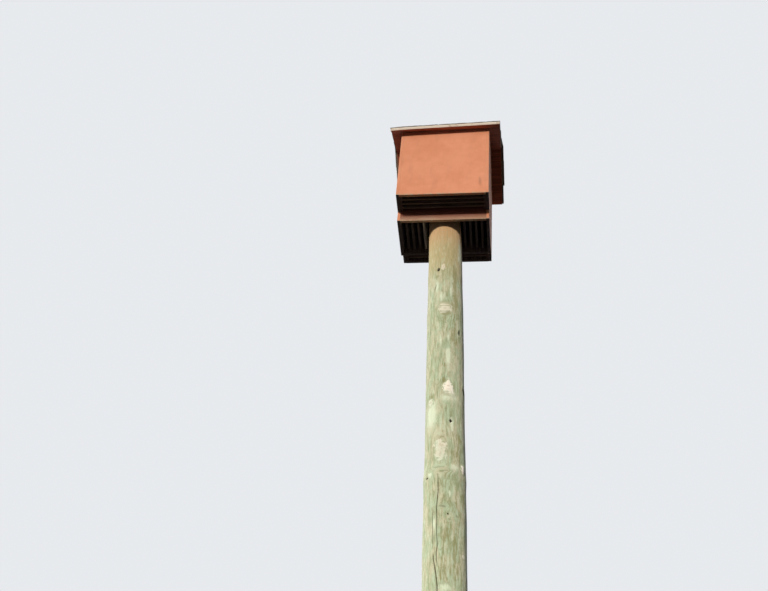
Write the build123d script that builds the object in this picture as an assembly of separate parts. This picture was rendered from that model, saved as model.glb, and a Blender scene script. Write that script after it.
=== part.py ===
from build123d import *
import math
import os

# All sizes are in millimetres. The frame's origin is the middle of the pole's foot, on the
# ground, with +Z up and the front of the house facing -Y.

# House body
BODY_WIDTH = 560.0
BODY_DEPTH = 570.0
WALL = 18.0
FLOOR_HEIGHT = 6700.0
LANDING_SETBACK = 140.0
LANDING_DROP = 78.0

# Roosting boards in the front and rear bays
BAY_BOARDS = 3
BAY_BOARD = 10.0
BAY_BOARD_BOTTOM = 6.0
BAY_BOARD_TOP = 600.0
GUIDE = 14.0
GROOVE_DEPTH = 7.0
FIT = 0.2

# Roosting boards on both sides of the pole, running from front to back
CORE_BOARDS = 4
CORE_BOARD = 11.0
POLE_CLEARANCE = 7.0
CORE_BOARD_BOTTOM = -41.0
CORE_BOARD_TOP = 560.0

# Roof
PITCH = math.radians(28.0)
EAVE_OVERHANG = 44.0
EAVE_HEIGHT = 604.0
SIDE_OVERHANG = 68.0
DECK = 18.0
ROOFING = 7.0
RAKE_DRIP = 16.0
RIDGE_WING = 125.0
RIDGE_FELT = 5.0
RIDGE_DRIP = 18.0
BEAM_WIDTH = 38.0
BEAM_DEPTH = 89.0

# Pole: a peeled trunk that thins towards the top and leans a little to the left
POLE_TAPER = 0.0035
POLE_LEAN = 0.033
POLE_TOP = 420.0
POLE_CROSSING = 30.0

# Blocks that fill the space between pole and landing walls, and their bolts
BLOCK_WEB = 29.0
BLOCK_INSET = 38.0
BLOCK_BOTTOM = -10.0
BLOCK_TOP = 390.0
BOLT = 12.0
BOLT_HEIGHTS = (80.0, 310.0)
BOLT_HEAD = 19.0
HEAD_HEIGHT = 7.5
WASHER = 30.0
WASHER_THICK = 2.5
COUNTERBORE = 34.0
COUNTERBORE_DEPTH = 12.0
BOLT_TAIL = 2.0
CAP_THICK = 38.0
CAP_EDGE = 12.0
CAP_SCREW_LENGTH = 140.0
SCREW_ROOM = 2.0
CUT_PAST = 5.0

# Derived
TAN = math.tan(PITCH)
SIN = math.sin(PITCH)
COS = math.cos(PITCH)
HALF_WIDTH = BODY_WIDTH / 2
MID_DEPTH = BODY_DEPTH / 2
INNER = HALF_WIDTH - WALL
BAY = LANDING_SETBACK - WALL
BAY_GAP = (BAY - BAY_BOARDS * BAY_BOARD) / (BAY_BOARDS + 1)
CORE_FRONT = LANDING_SETBACK + WALL
CORE_REAR = BODY_DEPTH - CORE_FRONT
POLE_TOP_DIAMETER = CORE_REAR - CORE_FRONT - 2 * BLOCK_WEB
BLOCK_WIDTH = POLE_TOP_DIAMETER - 2 * BLOCK_INSET
CORE_FIRST = POLE_TOP_DIAMETER / 2 + POLE_LEAN * (POLE_TOP - POLE_CROSSING) + POLE_CLEARANCE
CORE_PITCH = (INNER - CORE_FIRST) / CORE_BOARDS
CAP_HALF = POLE_TOP_DIAMETER / 2 + CAP_EDGE
ROOF_HALF = HALF_WIDTH + SIDE_OVERHANG
HOUSE_X = -POLE_LEAN * (FLOOR_HEIGHT + POLE_CROSSING)


def under_deck(y):
    """Height of the deck's underside above the body's bottom at depth y from the front face."""
    from_eave = min(y, BODY_DEPTH - y) + EAVE_OVERHANG
    return EAVE_HEIGHT + from_eave * TAN


def pole_x(z):
    """Sideways place of the pole's axis, measured from the middle of the house, at height z."""
    return -POLE_LEAN * (z - POLE_CROSSING)


def pole_radius(z):
    """Radius of the pole at height z above the body's bottom."""
    return (POLE_TOP_DIAMETER + POLE_TAPER * (POLE_TOP - z)) / 2


def box(x0, x1, y0, y1, z0, z1):
    """A plain board between two corners."""
    return Pos((x0 + x1) / 2, (y0 + y1) / 2, (z0 + z1) / 2) * Box(x1 - x0, y1 - y0, z1 - z0)


def along_x(points, x0, x1):
    """Extrudes an outline given as (y, z) points from x0 to x1."""
    outline = Plane.YZ.offset(x0) * make_face(Polyline(*points, close=True))
    return extrude(outline, amount=x1 - x0, dir=(1, 0, 0))


def turned_about(shape):
    """The same shape turned half a turn about the upright line through the middle of the house."""
    return Pos(0, MID_DEPTH, 0) * Rot(0, 0, 180) * Pos(0, -MID_DEPTH, 0) * shape


def rod_y(x, z, y0, y1, diameter):
    """A round bar running from front to back."""
    return Pos(x, y1, z) * Rot(90, 0, 0) * Cylinder(
        diameter / 2, y1 - y0, align=(Align.CENTER, Align.CENTER, Align.MIN))


def hexagon_y(x, z, y0, y1, across):
    """A six-sided bolt head whose flats are the given distance apart."""
    outline = RegularPolygon(across / 2, 6, major_radius=False)
    return Pos(x, y1, z) * Rot(90, 0, 0) * extrude(outline, amount=y1 - y0)


def pole_solid(grow, z0, z1):
    """The trunk between two heights, made larger all round by grow."""
    low = Pos(pole_x(z0), MID_DEPTH, z0) * Circle(pole_radius(z0) + grow)
    high = Pos(pole_x(z1), MID_DEPTH, z1) * Circle(pole_radius(z1) + grow)
    return loft([low, high], ruled=True)


def pole():
    """Trunk from the ground to the cap, with the holes for its bolts and the cap's screw."""
    trunk = pole_solid(0, -FLOOR_HEIGHT, POLE_TOP)
    for z in BOLT_HEIGHTS:
        trunk -= rod_y(pole_x(z), z, 0, BODY_DEPTH, BOLT + 2 * FIT)
    depth = CAP_SCREW_LENGTH - CAP_THICK + SCREW_ROOM
    hole = Cylinder(BOLT / 2 + FIT, depth, align=(Align.CENTER, Align.CENTER, Align.MAX))
    return trunk - Pos(pole_x(POLE_TOP), MID_DEPTH, POLE_TOP) * hole


def pole_cap():
    """Board on the pole's top that carries the two landing walls."""
    board = box(-CAP_HALF, CAP_HALF, CORE_FRONT, CORE_REAR, POLE_TOP, POLE_TOP + CAP_THICK)
    hole = Cylinder(BOLT / 2 + FIT, 4 * CAP_THICK)
    return board - Pos(pole_x(POLE_TOP), MID_DEPTH, POLE_TOP) * hole


def cap_screw():
    """Coach screw through the cap into the pole, with its washer."""
    top = POLE_TOP + CAP_THICK
    shank = Cylinder(BOLT / 2, CAP_SCREW_LENGTH, align=(Align.CENTER, Align.CENTER, Align.MAX))
    washer = Cylinder(WASHER / 2, WASHER_THICK, align=(Align.CENTER, Align.CENTER, Align.MIN))
    head = extrude(RegularPolygon(BOLT_HEAD / 2, 6, major_radius=False), amount=HEAD_HEIGHT)
    screw = shank + washer + Pos(0, 0, WASHER_THICK) * head
    return Pos(pole_x(POLE_TOP), MID_DEPTH, top) * screw


def saddle_block():
    """Front filling block, hollowed to the trunk and counterbored for the bolt heads."""
    x = pole_x((BLOCK_BOTTOM + BLOCK_TOP) / 2)
    half = BLOCK_WIDTH / 2
    block = box(x - half, x + half, CORE_FRONT, MID_DEPTH - BLOCK_WIDTH / 3, BLOCK_BOTTOM, BLOCK_TOP)
    block -= pole_solid(FIT, BLOCK_BOTTOM - CUT_PAST, BLOCK_TOP + CUT_PAST)
    for z in BOLT_HEIGHTS:
        block -= rod_y(pole_x(z), z, 0, BODY_DEPTH, BOLT + 2 * FIT)
        block -= rod_y(pole_x(z), z, CORE_FRONT - CUT_PAST, CORE_FRONT + COUNTERBORE_DEPTH, COUNTERBORE)
    return block


def through_bolt(z):
    """Bolt through both blocks and the pole, with a washer and a head or nut at each end."""
    x = pole_x(z)
    front = CORE_FRONT + COUNTERBORE_DEPTH
    rear = CORE_REAR - COUNTERBORE_DEPTH
    bolt = rod_y(x, z, front - WASHER_THICK - HEAD_HEIGHT, rear + WASHER_THICK + HEAD_HEIGHT + BOLT_TAIL, BOLT)
    bolt += rod_y(x, z, front - WASHER_THICK, front, WASHER)
    bolt += rod_y(x, z, rear, rear + WASHER_THICK, WASHER)
    bolt += hexagon_y(x, z, front - WASHER_THICK - HEAD_HEIGHT, front - WASHER_THICK, BOLT_HEAD)
    bolt += hexagon_y(x, z, rear + WASHER_THICK, rear + WASHER_THICK + HEAD_HEIGHT, BOLT_HEAD)
    return bolt


def front_panel():
    """Outer front board between the side boards, bevelled on top to the roof's slope."""
    outline = [(0, 0), (WALL, 0), (WALL, under_deck(WALL)), (0, under_deck(0))]
    return along_x(outline, -INNER, INNER)


def landing_wall():
    """Wall behind the front bay, which reaches below it so that bats can land."""
    y0, y1 = LANDING_SETBACK, CORE_FRONT
    outline = [(y0, -LANDING_DROP), (y1, -LANDING_DROP), (y1, under_deck(y1)), (y0, under_deck(y0))]
    return along_x(outline, -INNER, INNER)


def side_board(x0):
    """Side with a gable top; its bottom steps down between the two landing walls."""
    d = BODY_DEPTH
    outline = [
        (0, 0),
        (LANDING_SETBACK, 0),
        (LANDING_SETBACK, -LANDING_DROP),
        (d - LANDING_SETBACK, -LANDING_DROP),
        (d - LANDING_SETBACK, 0),
        (d, 0),
        (d, under_deck(d)),
        (MID_DEPTH, under_deck(MID_DEPTH)),
        (0, under_deck(0)),
    ]
    return along_x(outline, x0, x0 + WALL)


def bay_board_front(index):
    """Depth of a roosting board's front face in the front bay."""
    return WALL + BAY_GAP * (index + 1) + BAY_BOARD * index


def bay_board(index):
    """Thin roosting board of the front bay, held in the grooves of its two guides."""
    half = INNER - GUIDE + GROOVE_DEPTH - FIT
    y0 = bay_board_front(index)
    return box(-half, half, y0, y0 + BAY_BOARD, BAY_BOARD_BOTTOM, BAY_BOARD_TOP)


def guide(side):
    """Grooved upright of the front bay; side is -1 on the left and 1 on the right."""
    x0, x1 = sorted((side * (INNER - GUIDE), side * INNER))
    upright = box(x0, x1, WALL, LANDING_SETBACK, BAY_BOARD_BOTTOM, BAY_BOARD_TOP)
    g0, g1 = sorted((side * (INNER - GUIDE - CUT_PAST), side * (INNER - GUIDE + GROOVE_DEPTH)))
    for index in range(BAY_BOARDS):
        y0 = bay_board_front(index)
        upright -= box(
            g0, g1, y0 - FIT, y0 + BAY_BOARD + FIT,
            BAY_BOARD_BOTTOM - CUT_PAST, BAY_BOARD_TOP + CUT_PAST)
    return upright


def core_board(side, index):
    """Roosting board beside the pole, from one landing wall to the other."""
    near = CORE_FIRST + CORE_PITCH * index
    x0, x1 = sorted((side * near, side * (near + CORE_BOARD)))
    return box(x0, x1, CORE_FRONT, CORE_REAR, CORE_BOARD_BOTTOM, CORE_BOARD_TOP)


def ridge_beam():
    """Beam under the ridge between the two gables, with its top edges planed to the slopes."""
    half = BEAM_WIDTH / 2
    peak = under_deck(MID_DEPTH)
    edge = under_deck(MID_DEPTH - half)
    low = peak - BEAM_DEPTH
    outline = [
        (MID_DEPTH - half, low),
        (MID_DEPTH + half, low),
        (MID_DEPTH + half, edge),
        (MID_DEPTH, peak),
        (MID_DEPTH - half, edge),
    ]
    return along_x(outline, -INNER, INNER)


def slope_layer(start, bottom, thick, reach):
    """Outline of a layer on the front slope, from start along the slope up to the ridge's plane."""
    foot_y = -EAVE_OVERHANG + start * COS
    foot_z = EAVE_HEIGHT + start * SIN
    low = (foot_y - bottom * SIN, foot_z + bottom * COS)
    high = (foot_y - (bottom + thick) * SIN, foot_z + (bottom + thick) * COS)
    ridge_low = EAVE_HEIGHT + (reach + EAVE_OVERHANG) * TAN + bottom / COS
    ridge_high = ridge_low + thick / COS
    return [low, (reach, ridge_low), (reach, ridge_high), high]


def roof_deck():
    """Front half of the roof's boarding."""
    return along_x(slope_layer(0, 0, DECK, MID_DEPTH), -ROOF_HALF, ROOF_HALF)


def roofing():
    """Front layer of roofing, flush at the eave and a little proud of the deck at its sides."""
    half = ROOF_HALF + RAKE_DRIP
    return along_x(slope_layer(0, DECK, ROOFING, MID_DEPTH), -half, half)


def ridge_cap():
    """Folded strip of roofing that covers the joint of the two slopes."""
    base = EAVE_HEIGHT + (MID_DEPTH + EAVE_OVERHANG) * TAN + (DECK + ROOFING) / COS
    y0 = MID_DEPTH - RIDGE_WING * COS
    y1 = MID_DEPTH + RIDGE_WING * COS
    drop = RIDGE_WING * SIN
    rise = RIDGE_FELT / COS
    outline = [
        (y0, base - drop),
        (MID_DEPTH, base),
        (y1, base - drop),
        (y1 + RIDGE_FELT * SIN, base - drop + RIDGE_FELT * COS),
        (MID_DEPTH, base + rise),
        (y0 - RIDGE_FELT * SIN, base - drop + RIDGE_FELT * COS),
    ]
    half = ROOF_HALF + RIDGE_DRIP
    return along_x(outline, -half, half)


def pieces():
    """Every piece of the bat house by name, in the house's own place."""
    made = {
        "pole": pole(),
        "pole_cap": pole_cap(),
        "cap_screw": cap_screw(),
        "front_block": saddle_block(),
        "lower_bolt": through_bolt(BOLT_HEIGHTS[0]),
        "upper_bolt": through_bolt(BOLT_HEIGHTS[1]),
        "front_panel": front_panel(),
        "rear_panel": turned_about(front_panel()),
        "left_side": side_board(-HALF_WIDTH),
        "right_side": side_board(INNER),
        "front_landing_wall": landing_wall(),
        "rear_landing_wall": turned_about(landing_wall()),
        "front_left_guide": guide(-1),
        "front_right_guide": guide(1),
        "rear_left_guide": turned_about(guide(1)),
        "rear_right_guide": turned_about(guide(-1)),
        "ridge_beam": ridge_beam(),
        "front_deck": roof_deck(),
        "rear_deck": turned_about(roof_deck()),
        "front_roofing": roofing(),
        "rear_roofing": turned_about(roofing()),
        "ridge_cap": ridge_cap(),
    }
    # The rear block is the front one mirrored, because both hug the same leaning trunk
    made["rear_block"] = Pos(0, BODY_DEPTH, 0) * mirror(made["front_block"], about=Plane.XZ)
    for index in range(BAY_BOARDS):
        made["front_bay_board_%d" % (index + 1)] = bay_board(index)
        made["rear_bay_board_%d" % (index + 1)] = turned_about(bay_board(index))
    for index in range(CORE_BOARDS):
        made["left_core_board_%d" % (index + 1)] = core_board(-1, index)
        made["right_core_board_%d" % (index + 1)] = core_board(1, index)
    return made


os.makedirs("parts", exist_ok=True)
for name, shape in pieces().items():
    placed = Pos(HOUSE_X, -MID_DEPTH, FLOOR_HEIGHT) * shape
    export_step(placed, "parts/%s.step" % name)
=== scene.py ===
"""Dresses the bat house: painted boards, kerfed roosting boards, shingles and a peeled trunk."""
import logging
import math
from dataclasses import dataclass, field
from enum import Enum

import bpy
import numpy as np
from mathutils import Matrix


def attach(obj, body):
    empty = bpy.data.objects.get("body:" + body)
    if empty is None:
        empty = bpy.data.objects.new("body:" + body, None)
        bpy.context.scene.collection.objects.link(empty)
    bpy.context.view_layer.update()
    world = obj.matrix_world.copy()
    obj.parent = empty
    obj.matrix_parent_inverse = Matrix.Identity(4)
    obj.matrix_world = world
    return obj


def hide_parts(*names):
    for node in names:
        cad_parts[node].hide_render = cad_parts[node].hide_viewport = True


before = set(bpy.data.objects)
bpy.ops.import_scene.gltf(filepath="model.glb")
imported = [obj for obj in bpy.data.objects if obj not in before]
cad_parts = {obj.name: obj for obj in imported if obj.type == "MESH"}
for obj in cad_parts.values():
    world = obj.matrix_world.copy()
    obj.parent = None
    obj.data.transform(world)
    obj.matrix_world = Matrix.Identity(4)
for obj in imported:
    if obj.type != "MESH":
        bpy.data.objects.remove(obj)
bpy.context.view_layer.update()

LOG = logging.getLogger("bat_house")
Triple = tuple[float, float, float]
Colour = Triple
Socket = bpy.types.NodeSocket


def srgb(red: float, green: float, blue: float) -> Colour:
    """Turns a display colour of 0 to 255 a channel into the linear colour that shaders take.

    Args:
        red: Red channel.
        green: Green channel.
        blue: Blue channel.

    Returns:
        The linear colour.
    """
    return tuple(
        value / 12.92 if value <= 0.04045 else ((value + 0.055) / 1.055) ** 2.4
        for value in (red / 255, green / 255, blue / 255)
    )


class Side(Enum):
    """The two sides of the body, with the sign of their X direction."""

    LEFT = -1
    RIGHT = 1


class Face(Enum):
    """Which end of the body a piece belongs to."""

    FRONT = "front"
    REAR = "rear"

    @property
    def turns(self) -> int:
        """Half turns that bring a piece made at the front to this end."""
        return int(self is Face.REAR)


@dataclass(frozen=True)
class Plan:
    """Main sizes of the house in metres, from the middle of the body's front bottom edge."""

    width: float = 0.560
    depth: float = 0.570
    wall: float = 0.018
    floor_height: float = 6.700
    lean: float = 0.033
    crossing: float = 0.030
    setback: float = 0.140
    drop: float = 0.078
    pitch: float = math.radians(28.0)
    eave_overhang: float = 0.044
    eave_height: float = 0.604
    side_overhang: float = 0.068
    deck: float = 0.018

    @property
    def inner(self) -> float:
        """Half of the clear width between the side boards."""
        return self.width / 2 - self.wall

    @property
    def roof_half(self) -> float:
        """Half of the roof's width."""
        return self.width / 2 + self.side_overhang

    @property
    def slope_length(self) -> float:
        """Length of one roof slope, from the eave's lower edge to the ridge."""
        return (self.depth / 2 + self.eave_overhang) / math.cos(self.pitch)

    @property
    def offset(self) -> np.ndarray:
        """Place of the body's own origin in the part's frame."""
        aside = -self.lean * (self.floor_height + self.crossing)
        return np.array([aside, -self.depth / 2, self.floor_height])

    def under_deck(self, y: float) -> float:
        """Height of the deck's underside at depth y."""
        return self.eave_height + (min(y, self.depth - y) + self.eave_overhang) * math.tan(self.pitch)

    def on_slope(self, along: np.ndarray, above: np.ndarray) -> tuple[np.ndarray, np.ndarray]:
        """Depth and height of points on the front slope.

        Args:
            along: Distances up the slope from the eave's lower edge.
            above: Distances out from the deck's underside, at right angles to it.

        Returns:
            The depths and the heights.
        """
        sin, cos = math.sin(self.pitch), math.cos(self.pitch)
        return -self.eave_overhang + along * cos - above * sin, self.eave_height + along * sin + above * cos


@dataclass
class Shape:
    """A closed shape: points, four-sided faces, larger end faces, and a value for each point."""

    points: np.ndarray
    quads: np.ndarray
    caps: list[np.ndarray] = field(default_factory=list)
    quad_slots: np.ndarray | None = None
    cap_slots: tuple[int, ...] = (0,)
    values: dict[str, np.ndarray] = field(default_factory=dict)

    def volume(self) -> float:
        """Signed volume: the sum over faces of the corner triple products, a sixth of each.

        Returns:
            The volume, below 0 if the faces point inwards.
        """
        p = self.points - self.points.mean(0)
        total = 0.0
        for a, b in ((1, 2), (2, 3)):
            first, second, third = p[self.quads[:, 0]], p[self.quads[:, a]], p[self.quads[:, b]]
            total += np.einsum("ij,ij->i", first, np.cross(second, third)).sum() / 6
        for cap in self.caps:
            ring = p[cap]
            area = np.cross(ring, np.roll(ring, -1, 0)).sum(0) / 2
            total += ring.mean(0) @ area / 3
        return float(total)

    def outwards(self) -> None:
        """Turns the faces to point outwards."""
        if self.volume() < 0:
            self.quads = self.quads[:, ::-1]
            self.caps = [cap[::-1] for cap in self.caps]


@dataclass(frozen=True)
class Kerfs:
    """Saw kerfs across a board's face, which give the bats a foothold."""

    pitch: float = 0.0127
    deep: float = 0.0012
    wide: float = 0.0026

    def between(self, start: np.ndarray, end: np.ndarray) -> np.ndarray:
        """Points of a kerfed edge, without its ends.

        Kerf k has its middle at (k + 1/2) pitch. Its four points stand half the width to each
        side at the surface, and a third of the width to each side at the kerf's depth.

        Args:
            start: Where the edge begins.
            end: Where it ends; the board lies to the left on the way there.

        Returns:
            The points in order.
        """
        length = np.linalg.norm(end - start)
        along = (end - start) / length
        inward = np.array([-along[1], along[0]])
        middles = (np.arange(int(length / self.pitch)) + 0.5) * self.pitch + (length % self.pitch) / 2
        sideways = np.array([-self.wide / 2, -self.wide / 3, self.wide / 3, self.wide / 2])
        distance = (middles[:, None] + sideways).reshape(-1, 1)
        depth = np.tile([0, self.deep, self.deep, 0], len(middles)).reshape(-1, 1)
        return start + along * distance + inward * depth


@dataclass
class Outline:
    """A closed outline whose corners are eased and whose edges carry points between them."""

    corners: list[tuple[float, float]]
    ease: float
    spacing: float
    kerfed: tuple[int, ...] = ()
    kerfs: Kerfs = Kerfs()
    steps: int = 2
    points: np.ndarray = field(init=False)
    edge: np.ndarray = field(init=False)
    side: np.ndarray = field(init=False)

    def __post_init__(self) -> None:
        """Lays the points.

        Each corner P, with unit directions a and b to its neighbours, becomes the curve
        (1-t)^2 (P + r a) + 2 t (1-t) P + t^2 (P + r b), for t from 0 to 1.
        """
        corners = np.asarray(self.corners, float)
        to_last = np.roll(corners, 1, 0) - corners
        to_next = np.roll(corners, -1, 0) - corners
        to_last /= np.linalg.norm(to_last, axis=1, keepdims=True)
        to_next /= np.linalg.norm(to_next, axis=1, keepdims=True)
        t = np.linspace(0, 1, self.steps + 1)[None, :, None]
        middle = corners[:, None]
        bends = (1 - t) ** 2 * (middle + self.ease * to_last[:, None]) + 2 * t * (1 - t) * middle
        bends = bends + t**2 * (middle + self.ease * to_next[:, None])
        points, edge, side = [], [], []
        for index, bend in enumerate(bends):
            start, end = bend[-1], bends[(index + 1) % len(bends)][0]
            if index in self.kerfed:
                between = self.kerfs.between(start, end)
            else:
                count = max(1, int(round(np.linalg.norm(end - start) / self.spacing)))
                between = start + (end - start) * np.arange(1, count)[:, None] / count
            points += [bend, between]
            edge += [np.ones(len(bend)), np.zeros(len(between))]
            side += [np.full(len(bend) + len(between), index)]
        self.points, self.edge, self.side = map(np.concatenate, (points, edge, side))

    def inset(self, distance: float) -> np.ndarray:
        """The points moved inwards, at each by distance (n + m) / (1 + n . m) of its two normals.

        Args:
            distance: How far the edges move.

        Returns:
            The moved points.
        """
        step = np.roll(self.points, -1, 0) - self.points
        after = np.stack([-step[:, 1], step[:, 0]], 1) / np.linalg.norm(step, axis=1, keepdims=True)
        before = np.roll(after, 1, 0)
        return self.points + distance * (after + before) / (1 + (after * before).sum(1, keepdims=True))

    def carried(self, axis: int, low: float, high: float, spacing: float, ease: float = 0.0,
                side_slots: dict[int, int] | None = None, cap_slots: tuple[int, int] = (0, 0)) -> Shape:
        """Closed board through copies of the outline along an axis.

        Args:
            axis: 0 for X, where the outline is (depth, height); 1 for Y, where it is (x, height).
            low: Where the board begins on the axis.
            high: Where it ends.
            spacing: Distance between the copies.
            ease: How far the ends are eased.
            side_slots: Finish number by edge number, 0 for an edge that isn't named.
            cap_slots: Finish numbers of the low end and the high end.

        Returns:
            The board.
        """
        count = max(1, int(round((high - low - 2 * ease) / spacing)))
        stations = np.linspace(low + ease, high - ease, count + 1)
        outlines = np.repeat(self.points[None], len(stations), 0)
        wear = np.repeat(self.edge[None], len(stations), 0)
        if ease > 0:
            steps = np.array([1.0, 0.3])
            insets = np.stack([self.inset(ease * step) for step in steps])
            stations = np.concatenate([low + ease * (1 - steps), stations, high - ease * (1 - steps[::-1])])
            outlines = np.concatenate([insets, outlines, insets[::-1]])
            worn = np.ones((2, len(self.points)))
            wear = np.concatenate([worn, wear, worn])
        rings = np.empty((*outlines.shape[:2], 3))
        rings[..., axis] = stations[:, None]
        rings[..., 1 - axis] = outlines[..., 0]
        rings[..., 2] = outlines[..., 1]
        slots = None
        if side_slots:
            slots = np.select([self.side == key for key in side_slots], list(side_slots.values()), 0)
        shape = through(rings, slots)
        shape.cap_slots = cap_slots
        shape.values["edge"] = wear.ravel()
        return shape


def through(rings: np.ndarray, strip_slots: np.ndarray | None = None, folded: bool = False) -> Shape:
    """Closed shape through rings of points, with the first and the last ring closed.

    Args:
        rings: Points as an array of rings by points by 3.
        strip_slots: Finish number of each strip between a ring's neighbouring points.
        folded: True for rings that run along a thin sheet and back, whose ends are then closed
            by faces from one side of the sheet to the other. Otherwise each end is one face.

    Returns:
        The shape.
    """
    count, around, _ = rings.shape
    index = np.arange(count * around).reshape(count, around)
    after = np.roll(index, -1, 1)
    quads = np.stack([index[:-1], after[:-1], after[1:], index[1:]], -1).reshape(-1, 4)
    slots = None if strip_slots is None else np.tile(strip_slots, count - 1)
    ends = [index[0][::-1], index[-1]]
    if folded:
        steps = range(around // 2 - 1)
        ends = [np.array([end[k], end[k + 1], end[-k - 2], end[-k - 1]]) for end in ends for k in steps]
    return Shape(rings.reshape(-1, 3), quads, ends, slots)


def joined(shapes: list[Shape]) -> Shape:
    """Several closed shapes of one finish as one, each turned outwards first.

    Args:
        shapes: The shapes.

    Returns:
        All of them in one.
    """
    quads, caps, base = [], [], 0
    for shape in shapes:
        shape.outwards()
        quads.append(shape.quads + base)
        caps.extend(cap + base for cap in shape.caps)
        base += len(shape.points)
    points = np.concatenate([shape.points for shape in shapes])
    values = {name: np.concatenate([shape.values[name] for shape in shapes]) for name in shapes[0].values}
    return Shape(points, np.concatenate(quads), caps, values=values)


def ripple(points: np.ndarray, seed: int, size: float) -> np.ndarray:
    """Slow unevenness of sawn or sagging board.

    The sum over n = 5 plane waves of size / sqrt(n) sin(k . p + phase), with wave lengths
    between a fifth of a metre and one metre and directions drawn from the seed.

    Args:
        points: Points as an array by 3.
        seed: Start of the random draws.
        size: Height of the unevenness.

    Returns:
        One value a point.
    """
    waves = 5
    draw = np.random.default_rng(seed)
    direction = draw.normal(size=(waves, 3))
    direction /= np.linalg.norm(direction, axis=1, keepdims=True)
    number = 2 * math.pi / draw.uniform(0.2, 1.0, waves)
    phase = draw.uniform(0, 2 * math.pi, waves)
    return (np.sin(points @ (direction * number[:, None]).T + phase)).sum(1) * size / math.sqrt(waves)


class Tree:
    """The node tree of a material or of the world, with a short call that adds a node."""

    def __init__(self, owner: bpy.types.Material | bpy.types.World) -> None:
        """Takes up the tree of an owner and empties it.

        Args:
            owner: The material or the world.
        """
        owner.use_nodes = True
        self.nodes, self.links = owner.node_tree.nodes, owner.node_tree.links
        self.nodes.clear()

    def put(self, socket: Socket, value: object) -> None:
        """Links a socket to another one, or sets its value.

        Args:
            socket: Input that takes it.
            value: A socket, a number, or three numbers for a vector or a colour.
        """
        if isinstance(value, Socket):
            self.links.new(value, socket)
        else:
            socket.default_value = (*value, 1.0) if socket.type == "RGBA" else value

    def node(self, kind: str, output: str | int, inputs: dict[str | int, object], **settings: str) -> Socket:
        """Adds a node.

        Args:
            kind: Its type, without the ShaderNode in front.
            output: Name or number of the output that is wanted.
            inputs: What goes into its inputs, by their names or numbers.
            **settings: The node's own settings.

        Returns:
            The output.
        """
        made = self.nodes.new("ShaderNode" + kind)
        for name, setting in settings.items():
            setattr(made, name, setting)
        for key, value in inputs.items():
            self.put(made.inputs[key], value)
        return made.outputs[output]

    def surface(self, kind: str, shader: Socket) -> None:
        """Ends the tree in an output node, of the kind Material or World."""
        self.links.new(shader, self.nodes.new("ShaderNodeOutput" + kind).inputs["Surface"])

    def maths(self, operation: str, first: object, second: object = 0.0) -> Socket:
        """One step of arithmetic on two numbers."""
        return self.node("Math", "Value", {0: first, 1: second}, operation=operation)

    def plus(self, first: object, second: object) -> Socket:
        """Sum of two numbers."""
        return self.maths("ADD", first, second)

    def times(self, first: object, second: object) -> Socket:
        """Product of two numbers."""
        return self.maths("MULTIPLY", first, second)

    def part(self, place: Socket, axis: str) -> Socket:
        """One coordinate of a place."""
        return self.node("SeparateXYZ", axis, {"Vector": place})


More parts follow.
